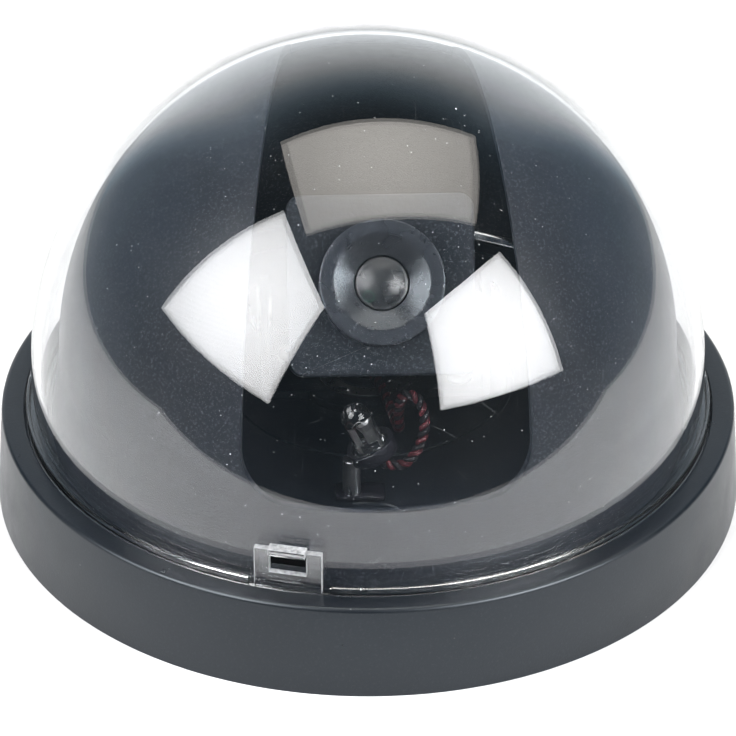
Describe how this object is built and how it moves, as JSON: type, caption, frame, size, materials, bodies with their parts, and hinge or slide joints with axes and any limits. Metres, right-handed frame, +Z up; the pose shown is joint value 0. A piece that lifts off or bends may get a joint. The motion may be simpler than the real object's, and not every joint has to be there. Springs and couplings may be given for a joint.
{
  "type": "dome cctv camera",
  "caption": "Battery-powered imitation dome camera: round black base, clear latched dome, slotted black liner, panning and tilting camera with lens, signal light.",
  "frame": {"origin": "centre of the circle on which the base rests, in the resting plane", "axes": "+Z up through the dome's top, which is the pan axis; -Y towards the front, the way the lens looks; +X to the viewer's right"},
  "size_m": [0.13, 0.13, 0.0833],
  "materials": {
    "housing": "black moulded plastic with a fine matt grain and worn bright edges",
    "liner": "black moulded plastic, satin, finely speckled",
    "gloss_black": "polished black plastic",
    "clear_dome": "clear polished plastic with fine dust and hairline scratches",
    "lens_glass": "dark coated glass",
    "clear_light": "water-clear resin",
    "zinc_steel": "zinc-plated steel",
    "spring_steel": "nickel-plated spring steel",
    "cell_jacket": "blue film jacket over the cell's can",
    "red_lead": "dark red insulation",
    "black_lead": "black insulation"
  },
  "bodies": {
    "base": {"base_housing": "housing", "mounting_plate": "housing", "housing_screw_1": "zinc_steel", "housing_screw_2": "zinc_steel", "housing_screw_3": "zinc_steel", "battery_tray": "housing", "tray_screw_1": "zinc_steel", "tray_screw_2": "zinc_steel", "battery_cell_1": "cell_jacket", "battery_cell_2": "cell_jacket", "contact_spring_1": "spring_steel", "contact_spring_2": "spring_steel", "contact_plate_1": "spring_steel", "contact_plate_2": "spring_steel", "battery_lead_red": "red_lead", "battery_lead_black": "black_lead", "switch_lead": "red_lead", "switch_body": "gloss_black", "pan_retainer": "zinc_steel"},
    "door": {"battery_door": "housing"},
    "switch": {"switch_slider": "gloss_black"},
    "pan": {"turntable": "liner", "inner_liner": "liner", "liner_screw_1": "zinc_steel", "liner_screw_2": "zinc_steel", "liner_screw_3": "zinc_steel", "yoke_bracket": "liner", "yoke_screw_1": "zinc_steel", "yoke_screw_2": "zinc_steel", "led_holder": "liner", "led": "clear_light", "led_lead_red": "red_lead", "led_lead_black": "black_lead", "lead_sleeve": "black_lead"},
    "camera": {"camera_body": "liner", "front_plate": "liner", "lens_barrel": "liner", "lens_bezel": "liner", "lens_cone": "gloss_black", "lens_glass": "lens_glass", "tilt_screw_left": "zinc_steel", "tilt_screw_right": "zinc_steel"},
    "dome": {"dome_cover": "clear_dome"},
    "latch": {"release_latch": "clear_dome"}
  },
  "joints": [
    {"name": "pan", "type": "hinge", "parent": "base", "child": "pan", "pos_m": [0, 0, 0.0209], "axis": [0, 0, 1], "range_deg": [-170, 170]},
    {"name": "tilt", "type": "hinge", "parent": "pan", "child": "camera", "pos_m": [0.0012, 0.00004, 0.0355], "axis": [-0.9994, -0.0349, 0], "range_deg": [-6, 52]},
    {"name": "dome_lift", "type": "slide", "parent": "base", "child": "dome", "axis": [0, 0, 1], "range_m": [0, 0.09]},
    {"name": "latch_flex", "type": "hinge", "parent": "dome", "child": "latch", "pos_m": [-0.0131, -0.05789, 0.0163], "axis": [0.9753, -0.2207, 0], "range_deg": [0, 6], "stiffness_Nm_per_rad": 0.05},
    {"name": "switch_slide", "type": "slide", "parent": "base", "child": "switch", "axis": [1, 0, 0], "range_m": [0, 0.003]},
    {"name": "battery_door_slide", "type": "slide", "parent": "base", "child": "door", "axis": [0, -1, 0], "range_m": [0, 0.012]}
  ]
}
